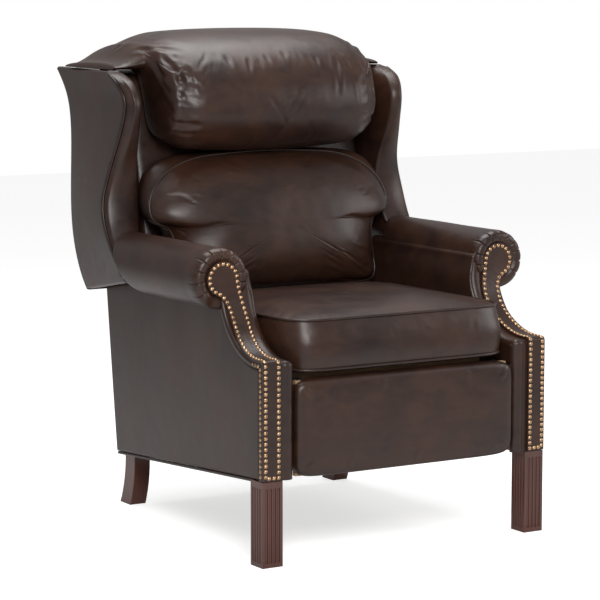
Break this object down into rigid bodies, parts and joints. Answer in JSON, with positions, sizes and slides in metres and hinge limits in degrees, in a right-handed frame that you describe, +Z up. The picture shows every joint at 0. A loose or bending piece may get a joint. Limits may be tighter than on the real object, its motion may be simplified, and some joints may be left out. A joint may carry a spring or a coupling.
{
  "type": "wingback recliner",
  "caption": "High-leg wingback recliner with rolled, nail-trimmed arms, loose-look cushions and a fold-out footrest driven by the reclining back.",
  "frame": {"origin": "on the floor, midway between the legs sideways and under the middle of the overall depth", "axes": "+X to the right seen from the front, -Y the way the chair faces, +Z up"},
  "size_m": [0.846, 1.0035, 1.0965],
  "materials": {
    "dark_leather": "soft semi-gloss leather",
    "nail_brass": "antiqued",
    "leg_wood": "satin lacquer",
    "frame_wood": "bare",
    "link_steel": "black",
    "spring_steel": "bare",
    "welt_leather": "matt"
  },
  "bodies": {
    "base": {"arm_cover_left": "dark_leather", "arm_cover_right": "dark_leather", "arm_board_left": "frame_wood", "arm_board_right": "frame_wood", "side_panel_left": "dark_leather", "side_panel_right": "dark_leather", "arm_front_panel_left": "dark_leather", "arm_front_panel_right": "dark_leather", "arm_nails_left": "nail_brass", "arm_nails_right": "nail_brass", "front_leg_left": "leg_wood", "front_leg_right": "leg_wood", "rear_leg_left": "leg_wood", "rear_leg_right": "leg_wood", "front_post_left": "frame_wood", "front_post_right": "frame_wood", "rear_post_left": "frame_wood", "rear_post_right": "frame_wood", "base_side_rail_left": "frame_wood", "base_side_rail_right": "frame_wood", "mechanism_plate_left": "link_steel", "mechanism_plate_right": "link_steel", "base_welts": "welt_leather", "front_spreader": "frame_wood", "rear_rail": "frame_wood", "rear_panel": "dark_leather"},
    "back": {"back_stile_left": "frame_wood", "back_stile_right": "frame_wood", "back_bracket_left": "link_steel", "back_bracket_right": "link_steel", "wing_board_left": "dark_leather", "wing_board_right": "dark_leather", "wing_pad_left": "dark_leather", "wing_pad_right": "dark_leather", "back_top_rail": "frame_wood", "back_top_board": "frame_wood", "wing_welts": "welt_leather", "back_lower_rail": "frame_wood", "outside_back": "dark_leather", "inside_back_pad": "dark_leather", "lumbar_cushion": "dark_leather", "headrest_pillow": "dark_leather"},
    "seat": {"seat_side_rail_left": "frame_wood", "seat_side_rail_right": "frame_wood", "seat_front_rail": "frame_wood", "seat_rear_rail": "frame_wood", "seat_springs": "spring_steel", "seat_cushion": "dark_leather"},
    "rear_links": {"tongs_rear_links": "link_steel", "cross_tube": "link_steel"},
    "crossing_links": {"tongs_crossing_links": "link_steel"},
    "carrier_links": {"tongs_carrier_links": "link_steel"},
    "front_links": {"tongs_front_links": "link_steel"},
    "control_links": {"control_links": "link_steel"},
    "drive_rods": {"drive_rods": "link_steel"},
    "footrest": {"footrest_board": "frame_wood", "footrest_pad": "dark_leather", "footrest_bracket_left": "link_steel", "footrest_bracket_right": "link_steel"}
  },
  "joints": [
    {"name": "back_recline", "type": "hinge", "parent": "base", "child": "back", "pos_m": [0, 0.064, 0.43], "axis": [-1, 0, 0], "range_deg": [0, 30]},
    {"name": "seat_slide", "type": "slide", "parent": "base", "child": "seat", "axis": [0, -0.9846, 0.175], "range_m": [0, 0.04571]},
    {"name": "rear_link_swing", "type": "hinge", "parent": "base", "child": "rear_links", "pos_m": [0, -0.331, 0.368], "axis": [-1, 0, 0], "range_deg": [0, 54]},
    {"name": "crossing_link_swing", "type": "hinge", "parent": "rear_links", "child": "crossing_links", "pos_m": [0, -0.36659, 0.27992], "axis": [1, 0, 0], "range_deg": [0, 108]},
    {"name": "carrier_link_swing", "type": "hinge", "parent": "rear_links", "child": "carrier_links", "pos_m": [0, -0.40218, 0.19184], "axis": [1, 0, 0], "range_deg": [0, 108]},
    {"name": "front_link_swing", "type": "hinge", "parent": "carrier_links", "child": "front_links", "pos_m": [0, -0.42193, 0.28476], "axis": [-1, 0, 0], "range_deg": [0, 108]},
    {"name": "footrest_turn", "type": "hinge", "parent": "carrier_links", "child": "footrest", "pos_m": [0, -0.44168, 0.37768], "axis": [-1, 0, 0], "range_deg": [0, 139]},
    {"name": "control_link_swing", "type": "hinge", "parent": "front_links", "child": "control_links", "pos_m": [0, -0.43878, 0.24304], "axis": [1, 0, 0], "range_deg": [0, 105.5]},
    {"name": "drive_rod_swing", "type": "hinge", "parent": "back", "child": "drive_rods", "pos_m": [0, 0.0832, 0.35835], "axis": [1, 0, 0], "range_deg": [0, 30]}
  ],
  "couplings": [
    {"joint": "seat_slide", "follows": "back_recline", "m_per_rad": 0.087292},
    {"joint": "rear_link_swing", "follows": "back_recline", "ratio": 1.8},
    {"joint": "crossing_link_swing", "follows": "back_recline", "ratio": 3.6},
    {"joint": "carrier_link_swing", "follows": "back_recline", "ratio": 3.6},
    {"joint": "front_link_swing", "follows": "back_recline", "ratio": 3.6},
    {"joint": "footrest_turn", "follows": "back_recline", "ratio": 4.6333},
    {"joint": "control_link_swing", "follows": "back_recline", "ratio": 3.5167},
    {"joint": "drive_rod_swing", "follows": "back_recline", "ratio": 1}
  ]
}
